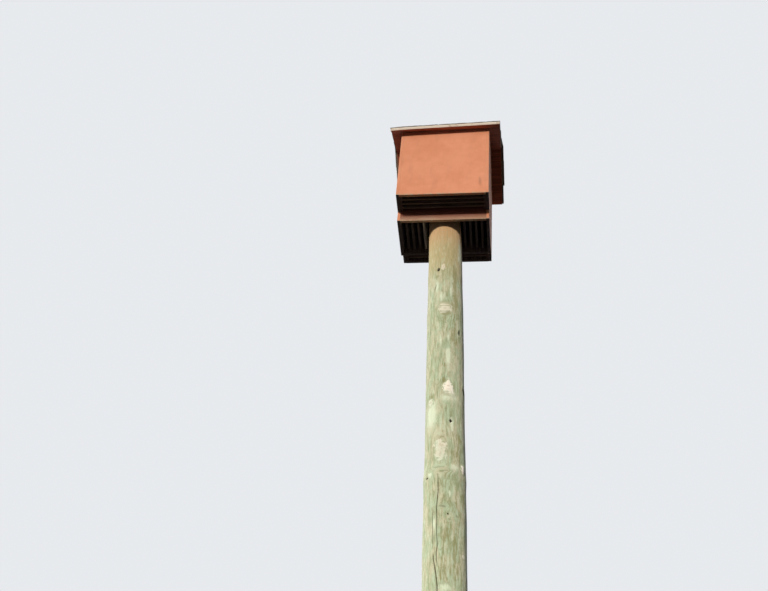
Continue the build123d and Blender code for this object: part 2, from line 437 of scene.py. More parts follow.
class NodeSheet(Tree):
    """A material's node tree, with short calls for the nodes that the finishes share."""

    def __init__(self, name: str) -> None:
        """Starts a material with a shader and an output.

        Args:
            name: The material's name.
        """
        self.material = bpy.data.materials.new(name)
        super().__init__(self.material)
        self.shader = self.nodes.new("ShaderNodeBsdfPrincipled")
        self.surface("Material", self.shader.outputs["BSDF"])
        self.place = self.node("TexCoord", "Object", {})

    def mapped(self, scale: Triple, place: Socket | None = None) -> Socket:
        """Object coordinates, or another place, after a stretch."""
        return self.node("Mapping", "Vector", {"Vector": place or self.place, "Scale": scale})

    def noise(self, place: Socket, scale: float, detail: float, rough: float = 0.5,
              twist: float = 0.0) -> Socket:
        """Cloudy noise from 0 to 1 at a place."""
        shape = {"Scale": scale, "Detail": detail, "Roughness": rough, "Distortion": twist}
        return self.node("TexNoise", "Fac", {"Vector": place} | shape)

    def cells(self, scale: float, output: str) -> Socket:
        """Cell pattern: the Distance to the nearest cell's middle, or a random Color a cell."""
        return self.node("TexVoronoi", output, {"Vector": self.place, "Scale": scale})

    def band(self, value: Socket, low: float, high: float) -> Socket:
        """Brings a value from low to high onto 0 to 1 by a smooth step, and holds it there outside."""
        edges = {"From Min": low, "From Max": high}
        return self.node("MapRange", "Result", {"Value": value} | edges, interpolation_type="SMOOTHSTEP")

    def scaled(self, value: Socket, low: float, high: float) -> Socket:
        """Brings a value from 0 to 1 onto low to high."""
        return self.node("MapRange", "Result", {"Value": value, "To Min": low, "To Max": high})

    def spots(self, scale: float, detail: float, rough: float, low: float, high: float,
              stretch: Triple | None = None) -> Socket:
        """Spots where noise on Object coordinates is high.

        Args:
            scale: Scale of the noise.
            detail: Its octaves.
            rough: How strong the finer octaves are.
            low: Noise at and under which there is no spot.
            high: Noise at which a spot is full.
            stretch: Scale along X, Y and Z, if it isn't the same.

        Returns:
            A mask from 0 to 1.
        """
        place = self.mapped(stretch) if stretch else self.place
        return self.band(self.noise(place, scale, detail, rough), low, high)

    def layered(self, colour: object, *layers: tuple[object, Socket, float]) -> Socket:
        """Lays paints over a colour.

        Args:
            colour: The ground.
            *layers: For each, its colour, its mask from 0 to 1 and its share where the mask is 1.

        Returns:
            The colour of them all.
        """
        for paint, mask, most in layers:
            share = mask if most == 1 else self.scaled(mask, 0, most)
            colour = self.node("Mix", 2, {"Factor": share, 6: colour, 7: paint}, data_type="RGBA")
        return colour

    def own(self, name: str, output: str = "Fac") -> Socket:
        """A value that the mesh carries under a name."""
        return self.node("Attribute", output, {}, attribute_name=name)

    def relief(self, height: Socket, deep: float, under: Socket | None = None) -> Socket:
        """Small relief from a height of 0 to 1, over another relief if one is given."""
        inputs = {"Strength": 1.0, "Distance": deep, "Height": height}
        return self.node("Bump", "Normal", inputs | ({"Normal": under} if under else {}))

    def finish(self, colour: object, rough: object, normal: Socket | None = None,
               metal: float = 0.0, shine: float = 0.5, flat: float = 0.6) -> bpy.types.Material:
        """Sets the shader's sockets.

        Args:
            colour: Colour or the socket that gives it.
            rough: Roughness or the socket that gives it.
            normal: Relief, if there is one.
            metal: 1 for bare metal.
            shine: Specular level.
            flat: How evenly a rough surface is lit right to its edge.

        Returns:
            The finished material.
        """
        levels = {"Metallic": metal, "Specular IOR Level": shine, "Diffuse Roughness": flat}
        if normal:
            levels["Normal"] = normal
        for name, value in ({"Base Color": colour, "Roughness": rough} | levels).items():
            self.put(self.shader.inputs[name], value)
        return self.material


class Grain(Enum):
    """The way the wood's grain runs, as the stretch of its pattern along X, Y and Z."""

    ACROSS = (0.06, 1.0, 1.0)
    DEEP = (1.0, 0.06, 1.0)
    UPRIGHT = (1.0, 1.0, 0.06)


@dataclass(frozen=True)
class Recipe:
    """A finish, which is built as a material under its name."""

    name: str

    def build(self) -> bpy.types.Material:
        """Builds the material; each kind of finish has its own way."""
        raise NotImplementedError


@dataclass(frozen=True)
class PaintedWood(Recipe):
    """Terracotta exterior paint, sun bleached and a little dirty, over plywood or board."""

    grain: Grain = Grain.UPRIGHT
    fresh: Colour = srgb(218, 147, 109)
    faded: Colour = srgb(225, 156, 120)
    deep: Colour = srgb(204, 132, 94)
    # Colour of grime, and of the painted shadow that the stain mask lays on the landing walls.
    dirt_and_shade: Colour = srgb(118, 84, 62)
    bare: Colour = srgb(196, 176, 146)
    wear: float = 1.0

    def build(self) -> bpy.types.Material:
        """Builds the paint: mottling, brush marks along the grain, grime, dark marks from the stain mask,
        some of them painted shadow, and worn edges.

        Returns:
            The finished material.
        """
        sheet = NodeSheet(self.name)
        long_grain = sheet.mapped(self.grain.value)
        patches = sheet.noise(sheet.place, 17, 4, 0.6, 0.4)
        strokes = sheet.noise(long_grain, 210, 3, 0.6)
        fibres = sheet.noise(long_grain, 620, 3, 0.55)
        colour = sheet.layered(
            self.fresh,
            (self.faded, sheet.spots(5.5, 5, 0.6, 0.36, 0.66), 1),
            (self.deep, sheet.band(patches, 0.4, 0.8), 0.22),
            (self.deep, strokes, 0.12),
            (self.dirt_and_shade, sheet.spots(26, 4, 0.5, 0.5, 0.85, (1, 1, 0.28)), 0.12),
            # stain mask: a split on the front panel; on the landing walls grime with painted shadow
            (self.dirt_and_shade, sheet.own("stain"), 1),
            (self.bare, sheet.times(sheet.own("edge"), sheet.spots(70, 4, 0.7, 0.42, 0.6)), self.wear),
        )
        normal = sheet.relief(fibres, 0.00025, sheet.relief(strokes, 0.0005))
        return sheet.finish(colour, sheet.scaled(patches, 0.62, 0.86), normal, shine=0.08)


@dataclass(frozen=True)
class BareWood(Recipe):
    """Unpainted sawn board, greyed by weather and dust."""

    grain: Grain
    light: Colour
    dark: Colour
    dust: Colour

    def build(self) -> bpy.types.Material:
        """Builds the wood: growth rings stretched along the grain, fibres and dust.

        Returns:
            The finished material.
        """
        sheet = NodeSheet(self.name)
        long_grain = sheet.mapped(self.grain.value)
        rings = sheet.noise(long_grain, 60, 5, 0.6, 0.8)
        fibres = sheet.noise(long_grain, 420, 3, 0.6)
        colour = sheet.layered(
            self.dark,
            (self.light, sheet.band(rings, 0.35, 0.65), 1),
            (self.dark, fibres, 0.3),
            (self.dust, sheet.spots(9, 5, 0.65, 0.5, 0.75), 0.35),
        )
        normal = sheet.relief(fibres, 0.0005, sheet.relief(rings, 0.0008))
        return sheet.finish(colour, sheet.scaled(rings, 0.78, 0.92), normal, shine=0.2)


@dataclass(frozen=True)
class PlyEdge(Recipe):
    """Cut edge of the roof's plywood, bleached, with its plies showing as thin lines."""

    pitch: float
    ply: float = 0.0036
    wander: float = 0.0012
    pale: Colour = srgb(250, 238, 220)
    line: Colour = srgb(226, 202, 172)
    stain: Colour = srgb(176, 140, 106)

    def build(self) -> bpy.types.Material:
        """Builds the edge: ply lines by the distance out from the deck's underside, and stains.

        Returns:
            The finished material.
        """
        sheet = NodeSheet(self.name)
        depth = sheet.maths("ABSOLUTE", sheet.part(sheet.place, "Y"))
        height = sheet.part(sheet.place, "Z")
        sin, cos = math.sin(self.pitch), math.cos(self.pitch)
        above = sheet.plus(sheet.times(depth, sin), sheet.times(height, cos))
        wobble = sheet.times(sheet.noise(sheet.place, 30, 2), self.wander)
        layers = sheet.times(sheet.plus(above, wobble), 2 * math.pi / self.ply)
        lines = sheet.band(sheet.maths("SINE", layers), 0.1, 0.9)
        soil = sheet.spots(34, 5, 0.7, 0.52, 0.75, (0.5, 1, 1))
        colour = sheet.layered(self.pale, (self.line, lines, 0.45), (self.stain, soil, 0.75))
        return sheet.finish(colour, 0.85, sheet.relief(lines, 0.0006), shine=0.2)


@dataclass(frozen=True)
class Granules(Recipe):
    """Mineral granules on felt: every grain its own tone, bald in places."""

    grains: float = 640.0
    warm: Colour = srgb(150, 134, 116)
    grey: Colour = srgb(112, 106, 98)
    dark: Colour = srgb(58, 52, 47)
    lichen: Colour = srgb(164, 166, 132)

    def build(self) -> bpy.types.Material:
        """Builds the granules from cells of a millimetre and a half, with blends a tab wide.

        Returns:
            The finished material.
        """
        sheet = NodeSheet(self.name)
        tone = sheet.part(sheet.cells(self.grains, "Color"), "X")
        blend = sheet.plus(sheet.noise(sheet.place, 11, 3), sheet.scaled(sheet.own("tone"), -0.1, 0.1))
        colour = sheet.layered(
            self.warm,
            (self.grey, sheet.band(blend, 0.38, 0.64), 1),
            (self.dark, sheet.band(tone, 0.3, 1.0), 0.75),
            (self.dark, sheet.spots(46, 5, 0.7, 0.6, 0.72), 0.6),
            (self.lichen, sheet.spots(23, 6, 0.72, 0.62, 0.7), 0.5),
        )
        normal = sheet.relief(sheet.cells(self.grains, "Distance"), 0.0009)
        return sheet.finish(colour, 0.93, normal, shine=0.15)


@dataclass(frozen=True)
class Galvanised(Recipe):
    """Dull zinc with its crystals and a little rust."""

    zinc: Colour = srgb(150, 152, 150)
    dull: Colour = srgb(106, 108, 108)
    rust: Colour = srgb(120, 72, 44)

    def build(self) -> bpy.types.Material:
        """Builds the metal: crystal patches, dull film and rust in spots.

        Returns:
            The finished material.
        """
        sheet = NodeSheet(self.name)
        crystals = sheet.part(sheet.cells(130, "Color"), "X")
        spots = sheet.spots(160, 5, 0.7, 0.56, 0.68)
        colour = sheet.layered(self.zinc, (self.dull, crystals, 1), (self.rust, spots, 1))
        return sheet.finish(colour, sheet.scaled(crystals, 0.42, 0.6), sheet.relief(spots, 0.0002), 0.8)


@dataclass(frozen=True)
class PeeledTrunk(Recipe):
    """Green treated softwood, weathered, with knots, drying checks and a warmer, salmon tint towards the top.
    """

    green: Colour = srgb(190, 201, 167)
    cream: Colour = srgb(218, 213, 184)
    mint: Colour = srgb(222, 236, 212)
    olive: Colour = srgb(144, 148, 98)
    # Khaki of the dull patches, also used as painted shadow in the ring round each knot.
    khaki_and_shade: Colour = srgb(156, 150, 100)
    pale: Colour = srgb(234, 240, 216)
    knot: Colour = srgb(254, 248, 234)
    heart: Colour = srgb(204, 180, 152)
    # Near-black in the knot holes, which stands in for the shadow in the hollow.
    hole: Colour = srgb(44, 36, 24)
    split: Colour = srgb(92, 80, 54)
    tan: Colour = srgb(206, 184, 136)
    salmon: Colour = srgb(226, 180, 132)

    def build(self) -> bpy.types.Material:
        """Builds the trunk from its own flow of grain, which the mesh carries round the knots.

        Returns:
            The finished material.
        """
        sheet = NodeSheet(self.name)
        band, scaled, times = sheet.band, sheet.scaled, sheet.times
        flow = sheet.own("flow", "Vector")
        patches = sheet.noise(sheet.mapped((1, 1, 0.3), flow), 30, 5, 0.6)
        streaks = sheet.noise(sheet.mapped((1, 1, 0.12), flow), 120, 5, 0.62, 0.3)
        fibres = sheet.noise(sheet.mapped((1, 1, 0.07), flow), 280, 3, 0.6)
        crumbs = sheet.noise(sheet.mapped((1, 1, 0.4), flow), 150, 4, 0.65)
        warm, tone = sheet.own("warm"), sheet.own("tone")
        plain = scaled(warm, 1.0, 0.25)
        ragged = sheet.plus(scaled(crumbs, -0.7, 0.7), scaled(streaks, -1.0, 1.0))
        near = sheet.plus(sheet.own("near"), scaled(crumbs, -1.3, 1.3))
        rings = band(sheet.maths("SINE", times(near, 12.0)), -0.2, 0.9)
        wood = sheet.layered(self.knot, (self.heart, rings, 0.16), (self.heart, band(near, 0.5, 0.2), 0.5))
        colour = sheet.layered(
            self.green,
            (self.cream, band(patches, 0.4, 0.6), 1),
            (self.tan, band(warm, 0, 0.55), 0.9),
            (self.salmon, band(warm, 0.6, 1), 0.9),
            (self.olive, times(scaled(band(streaks, 0.5, 0.64), 0, 0.6), plain), 1),
            (self.mint, times(scaled(band(streaks, 0.49, 0.37), 0, 0.48), plain), 1),
            (self.olive, times(scaled(band(crumbs, 0.52, 0.68), 0, 0.42), plain), 1),
            (self.olive, fibres, 0.3),
            (self.pale, band(sheet.plus(tone, ragged), 0.15, 0.85), 0.75),
            (self.khaki_and_shade, band(sheet.maths("SUBTRACT", ragged, tone), 0.05, 1.0), 0.7),
            # painted shadow in the shallow ring round each knot
            (self.khaki_and_shade, times(band(near, 2.0, 1.3), band(near, 0.9, 1.3)), 0.2),
            (wood, times(sheet.own("face"), band(near, 1.25, 0.7)), 1),
            # painted shadow: near-black fills the knot holes
            (self.hole, times(sheet.own("hole"), band(near, 1.05, 0.7)), 1),
            (self.split, band(sheet.own("crack"), 0.1, 0.6), 0.8),
        )
        normal = sheet.relief(fibres, 0.0006, sheet.relief(streaks, 0.0016))
        return sheet.finish(colour, scaled(streaks, 0.7, 0.88), normal, shine=0.25, flat=1.0)


@dataclass
class Workshop:
    """Puts shapes into the scene as pieces of the bat house."""

    plan: Plan
    finishes: dict[str, bpy.types.Material] = field(default_factory=dict)
    made: int = 0

    def finish(self, recipe: Recipe) -> bpy.types.Material:
        """The material of a finish, built once.

        Args:
            recipe: The finish.

        Returns:
            Its material.
        """
        if recipe.name not in self.finishes:
            self.finishes[recipe.name] = recipe.build()
        return self.finishes[recipe.name]

    def add(self, name: str, shape: Shape, recipes: list[Recipe], slot: str,
            replaces: tuple[str, ...] = (), crease: float = 32.0, placed: bool = True) -> None:
        """Makes a piece from a shape.

        Args:
            name: The piece's name.
            shape: The shape, in the body's own frame.
            recipes: Finishes, in the order of the shape's finish numbers.
            slot: The record's material slot; not used.
            replaces: CAD nodes that the piece stands for.
            crease: Angle in degrees above which an edge stays sharp.
            placed: True if the shape still has to be moved into the part's frame.
        """
        shape.outwards()
        points = shape.points + (self.plan.offset if placed else 0)
        mesh = bpy.data.meshes.new(name)
        mesh.from_pydata(points.tolist(), [], shape.quads.tolist() + [cap.tolist() for cap in shape.caps])
        mesh.polygons.foreach_set("use_smooth", np.ones(len(mesh.polygons), bool))
        if shape.quad_slots is not None:
            slots = np.concatenate([shape.quad_slots, np.resize(shape.cap_slots, len(shape.caps))])
            mesh.polygons.foreach_set("material_index", slots.astype(np.int32))
        for key, value in shape.values.items():
            kind, data = ("FLOAT_VECTOR", "vector") if value.ndim == 2 else ("FLOAT", "value")
            layer = mesh.attributes.new(key, kind, "POINT")
            layer.data.foreach_set(data, value.astype(np.float32).ravel())
        mesh.set_sharp_from_angle(angle=math.radians(crease))
        mesh.update()
        piece = bpy.data.objects.new(name, mesh)
        bpy.context.scene.collection.objects.link(piece)
        for recipe in recipes:
            mesh.materials.append(self.finish(recipe))
        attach(piece, "root")
        if replaces:
            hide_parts(*replaces)
        self.made += 1
        LOG.info("%s: %d faces", name, len(mesh.polygons))

    def dress(self, node: str, recipe: Recipe) -> None:
        """Gives a CAD node that stays as it is its finish.

        Args:
            node: The node's name.
            recipe: The finish.
        """
        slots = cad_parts[node].data.materials
        slots.clear()
        slots.append(self.finish(recipe))
        LOG.info("%s: dressed as %s", node, recipe.name)

    def facing(self, shape: Shape, face: Face) -> Shape:
        """Brings a shape made at the front to its end, by half a turn about the middle for the rear.

        Args:
            shape: The shape.
            face: The end that it is for.

        Returns:
            The same shape.
        """
        if face is Face.REAR:
            shape.points = shape.points * [-1, -1, 1] + [0, self.plan.depth, 0]
        return shape


@dataclass
class Body:
    """Painted box of the house: two outer panels, two landing walls and two side boards."""

    shop: Workshop
    ease: float = 0.0015
    warp: float = 0.0006
    panel_grid: tuple[float, float] = (0.016, 0.012)
    landing_grid: tuple[float, float] = (0.03, 0.02)
    side_grid: tuple[float, float] = (0.02, 0.009)
    panel_seed: int = 11
    landing_seed: int = 21
    split_place: tuple[float, float] = (0.228, 0.112)
    split_reach: tuple[float, float] = (0.004, 0.034)
    split_dark: float = 0.45
    # Grime and painted shadow on the landing walls: how far up they darken, and how dark.
    dirt_and_shade_rise: float = 0.056
    dirt_and_shade_dark: float = 0.9
    screw_rows: tuple[float, ...] = tuple(np.linspace(0.04, 0.56, 4))
    screw_stray: float = 0.003
    screw_core: float = 0.00005
    screw_profile: tuple[tuple[float, float], ...] = (
        (0.0, 0.00015), (0.0012, 0.00015), (0.0016, 0.0005),
        (0.0034, 0.00045), (0.0040, 0.0002), (0.0042, -0.0006))
    screw_points: int = 16
    screw_seed: int = 31
    paint: PaintedWood = PaintedWood("terracotta_paint")
    broad: PaintedWood = PaintedWood("terracotta_side", wear=0.0)
    # Dark stain on the inner faces and the lower edges, which also stands in for the shadow under and inside
    # the body.
    inside: BareWood = BareWood(
        "dark_stain_and_shade", Grain.UPRIGHT, srgb(92, 76, 70), srgb(58, 48, 44), srgb(108, 98, 92))
    # Landing paint with guano stain; its darkest colour also serves as painted shadow, darkening the walls
    # upwards.
    stained_and_shaded: PaintedWood = PaintedWood(
        "stained_and_shaded_paint", Grain.ACROSS, srgb(192, 149, 121), srgb(198, 164, 138), srgb(162, 120, 92),
        srgb(126, 66, 50))

    def wall(self, face: Face, near: float, low: float, grid: tuple[float, float],
             kerfed: tuple[int, ...] = ()) -> Shape:
        """Board from side to side at the front, cut on top to the deck's slope.

        Args:
            face: Which end it is for, because the rear's lower edge takes the dark inside finish, which
                stands in for the shadow under it.
            near: Depth of its outer face.
            low: Height of its lower edge.
            grid: Distance between the points of its outline, and between the outline's copies.
            kerfed: Numbers of the edges with kerfs.

        Returns:
            The board.
        """
        plan = self.shop.plan
        far = near + plan.wall
        corners = [(near, low), (far, low), (far, plan.under_deck(far)), (near, plan.under_deck(near))]
        # painted shadow: the inner face, and at the rear also the lower edge, take the dark inside finish
        dark_finish_sides = {1: 1} if face is Face.FRONT else {0: 1, 1: 1}
        outline = Outline(corners, self.ease, grid[0], kerfed)
        return outline.carried(0, -plan.inner, plan.inner, grid[1], side_slots=dark_finish_sides)

    def stand(self, shape: Shape, face: Face, name: str, seed: int, paint: PaintedWood) -> None:
        """Warps a wall and stands it at its end of the body.

        Args:
            shape: The wall.
            face: The end.
            name: The CAD node's name, without the end's.
            seed: Start of the warp's random draws.
            paint: Its paint.
        """
        shape.points[:, 1] += ripple(shape.points, seed + face.turns, self.warp)
        node = "%s_%s" % (face.value, name)
        recipes = [paint, self.inside]
        self.shop.add(node + "_board", self.shop.facing(shape, face), recipes, "painted_board", (node,))

    def panel(self, face: Face) -> None:
        """Outer panel, with a short split near the front one's right edge.

        From its middle, the split is as dark as exp(-(x / reach)^2 - (z / reach)^4).

        Args:
            face: The end that it closes.
        """
        shape = self.wall(face, 0, 0, self.panel_grid)
        across, height = ((shape.points[:, [0, 2]] - self.split_place) / self.split_reach).T
        split = np.exp(-(across**2) - height**4)
        shape.values["stain"] = self.split_dark * split * (face is Face.FRONT)
        self.stand(shape, face, "panel", self.panel_seed, self.paint)

    def landing_wall(self, face: Face) -> None:
        """Wall behind a bay, kerfed across the face that the bats land on.

        It darkens from the lower edge up, as t^2 (3 - 2 t) with t as the share of the height: partly grime,
        partly painted shadow that softens the edge of the panel's shadow above.

        Args:
            face: The end that it is at.
        """
        plan = self.shop.plan
        shape = self.wall(face, plan.setback, -plan.drop, self.landing_grid, (3,))
        # painted shadow with grime: the wall darkens upwards into the bay, under the panel's shadow
        dirt_and_shade_rise = np.clip((shape.points[:, 2] + plan.drop) / self.dirt_and_shade_rise, 0, 1)
        shape.values["stain"] = self.dirt_and_shade_dark * dirt_and_shade_rise * dirt_and_shade_rise * (3 - 2 * dirt_and_shade_rise)
        self.stand(shape, face, "landing_wall", self.landing_seed, self.stained_and_shaded)

    def side_board(self, side: Side) -> None:
        """Side with its gable top and stepped bottom, and softened edges.

        Args:
            side: The side that it closes.
        """
        plan = self.shop.plan
        depth, setback, drop = plan.depth, plan.setback, plan.drop
        corners = [
            (0, 0), (setback, 0), (setback, -drop), (depth - setback, -drop), (depth - setback, 0),
            (depth, 0), (depth, plan.under_deck(depth)), (depth / 2, plan.under_deck(depth / 2)),
            (0, plan.under_deck(0)),
        ]
        low, high = sorted((side.value * plan.width / 2, side.value * plan.inner))
        ends = (2, 1) if side is Side.LEFT else (1, 2)
        along, across = self.side_grid
        outline = Outline(corners, 2 * self.ease, along)
        # painted shadow: the lower edges take the dark inside finish
        shape = outline.carried(0, low, high, across, self.ease, {0: 1, 2: 1, 4: 1}, ends)
        shape.values["stain"] = np.zeros(len(shape.points))
        name = side.name.lower() + "_side"
        self.shop.add(name + "_board", shape, [self.paint, self.inside, self.broad], "painted_board", (name,))

    def screws(self) -> None:
        """Heads of the screws that hold the side boards: a profile turned about each screw's axis."""
        plan = self.shop.plan
        radii, out = np.array(self.screw_profile).T[..., None]
        turn = np.linspace(0, 2 * math.pi, self.screw_points, endpoint=False)
        front = np.array([plan.wall / 2, plan.setback + plan.wall / 2])
        columns = (*front, *(plan.depth - front))
        places = [(side, y, z) for side in Side for y in columns for z in self.screw_rows]
        draw = np.random.default_rng(self.screw_seed)
        heads = []
        for side, y, z in places:
            y, z = np.array([y, z]) + draw.uniform(-self.screw_stray, self.screw_stray, 2)
            rings = np.empty((len(radii), len(turn), 3))
            rings[..., 0] = side.value * (plan.width / 2 + out)
            rings[..., 1] = y + (radii + self.screw_core) * np.cos(turn)
            rings[..., 2] = z + (radii + self.screw_core) * np.sin(turn)
            heads.append(through(rings))
        self.shop.add("side_screw_heads", joined(heads), [Galvanised("dull_zinc")], "galvanised_steel")

    def build(self) -> None:
        """Builds the whole body."""
        for face in Face:
            self.panel(face)
            self.landing_wall(face)
        for side in Side:
            self.side_board(side)
        self.screws()


@dataclass
class RoostBoards:
    """Thin kerfed boards that the bats hang between, in both bays and beside the pole."""

    shop: Workshop
    ease: float = 0.0008
    grid: tuple[float, float] = (0.05, 0.06)
    bay_seed: int = 40
    core_seed: int = 60
    bay_board: float = 0.010
    bay_boards: int = 3
    bay_low: float = 0.006
    bay_high: float = 0.600
    bay_reach: float = 0.2548
    core_board: float = 0.011
    core_boards: int = 4
    core_first: float = 0.11787
    core_low: float = -0.041
    core_high: float = 0.560
    warp: float = 0.0008
    bay_wood: BareWood = BareWood(
        "bay_wood", Grain.ACROSS, srgb(116, 94, 78), srgb(70, 55, 46), srgb(128, 114, 104))
    core_wood: BareWood = BareWood(
        "core_wood", Grain.DEEP, srgb(104, 90, 82), srgb(68, 57, 52), srgb(124, 116, 110))
    dusty: BareWood = BareWood(
        "dusty_core_wood", Grain.DEEP, srgb(228, 224, 212), srgb(176, 170, 158), srgb(236, 234, 228))

    def sawn(self, low: tuple[float, float], high: tuple[float, float], kerfed: int) -> Outline:
        """Outline of a board between two corners, with one kerfed edge."""
        corners = [low, (high[0], low[1]), high, (low[0], high[1])]
        return Outline(corners, self.ease, self.grid[0], (kerfed,))

    def in_bay(self, face: Face, index: int) -> None:
        """One board of a bay, from side to side, warped by 1 - (x / reach)^2.

        Args:
            face: The end that the bay is at.
            index: Its number from the outer panel, from 0.
        """
        plan = self.shop.plan
        gap = (plan.setback - plan.wall - self.bay_boards * self.bay_board) / (self.bay_boards + 1)
        near = plan.wall + gap * (index + 1) + self.bay_board * index
        outline = self.sawn((near, self.bay_low), (near + self.bay_board, self.bay_high), 3)
        shape = outline.carried(0, -self.bay_reach, self.bay_reach, self.grid[1])
        middle = 1 - (shape.points[:, 0] / self.bay_reach) ** 2
        seed = self.bay_seed + index + 5 * face.turns
        shape.points[:, 1] += middle * ripple(shape.points, seed, self.warp)
        name = "%s_bay_board_%d" % (face.value, index + 1)
        self.shop.add(name + "_kerfed", self.shop.facing(shape, face), [self.bay_wood], "bare_board", (name,))

    def beside_pole(self, side: Side, index: int) -> None:
        """One board from the front landing wall to the rear one, warped by a half sine wave.

        Args:
            side: The side of the pole.
            index: Its number from the pole, from 0.
        """
        plan = self.shop.plan
        front = plan.setback + plan.wall
        pitch = (plan.inner - self.core_first) / self.core_boards
        near = self.core_first + pitch * index
        low, high = sorted((side.value * near, side.value * (near + self.core_board)))
        outline = self.sawn((low, self.core_low), (high, self.core_high), 1 if side is Side.LEFT else 3)
        shape = outline.carried(1, front, plan.depth - front, self.grid[1])
        middle = np.sin(np.pi * (shape.points[:, 1] - front) / (plan.depth - 2 * front))
        seed = self.core_seed + index + 5 * (side is Side.LEFT)
        shape.points[:, 0] += middle * ripple(shape.points, seed, self.warp)
        name = "%s_core_board_%d" % (side.name.lower(), index + 1)
        wood = self.dusty if side is Side.LEFT and index == 0 else self.core_wood
        self.shop.add(name + "_kerfed", shape, [wood], "bare_board", (name,))

    def build(self) -> None:
        """Builds the boards of both bays and of both sides of the pole."""
        for index in range(self.bay_boards):
            for face in Face:
                self.in_bay(face, index)
        for index in range(self.core_boards):
            for side in Side:
                self.beside_pole(side, index)


@dataclass
class Framing:
    """Pieces inside the body whose CAD shape stays and only gets its finish."""

    shop: Workshop
    upright: BareWood = BareWood(
        "upright_wood", Grain.UPRIGHT, srgb(94, 72, 62), srgb(60, 45, 38), srgb(106, 94, 84))
    across: BareWood = BareWood(
        "beam_wood", Grain.ACROSS, srgb(150, 118, 84), srgb(104, 76, 50), srgb(140, 126, 106))
    zinc: Galvanised = Galvanised("dull_zinc")

    def build(self) -> None:
        """Dresses the guides, blocks, cap, beam, bolts and screw."""
        for face in Face:
            for node in ("block", "left_guide", "right_guide"):
                self.shop.dress("%s_%s" % (face.value, node), self.upright)
        for node in ("pole_cap", "ridge_beam"):
            self.shop.dress(node, self.across)
        for node in ("lower_bolt", "upper_bolt", "cap_screw"):
            self.shop.dress(node, self.zinc)


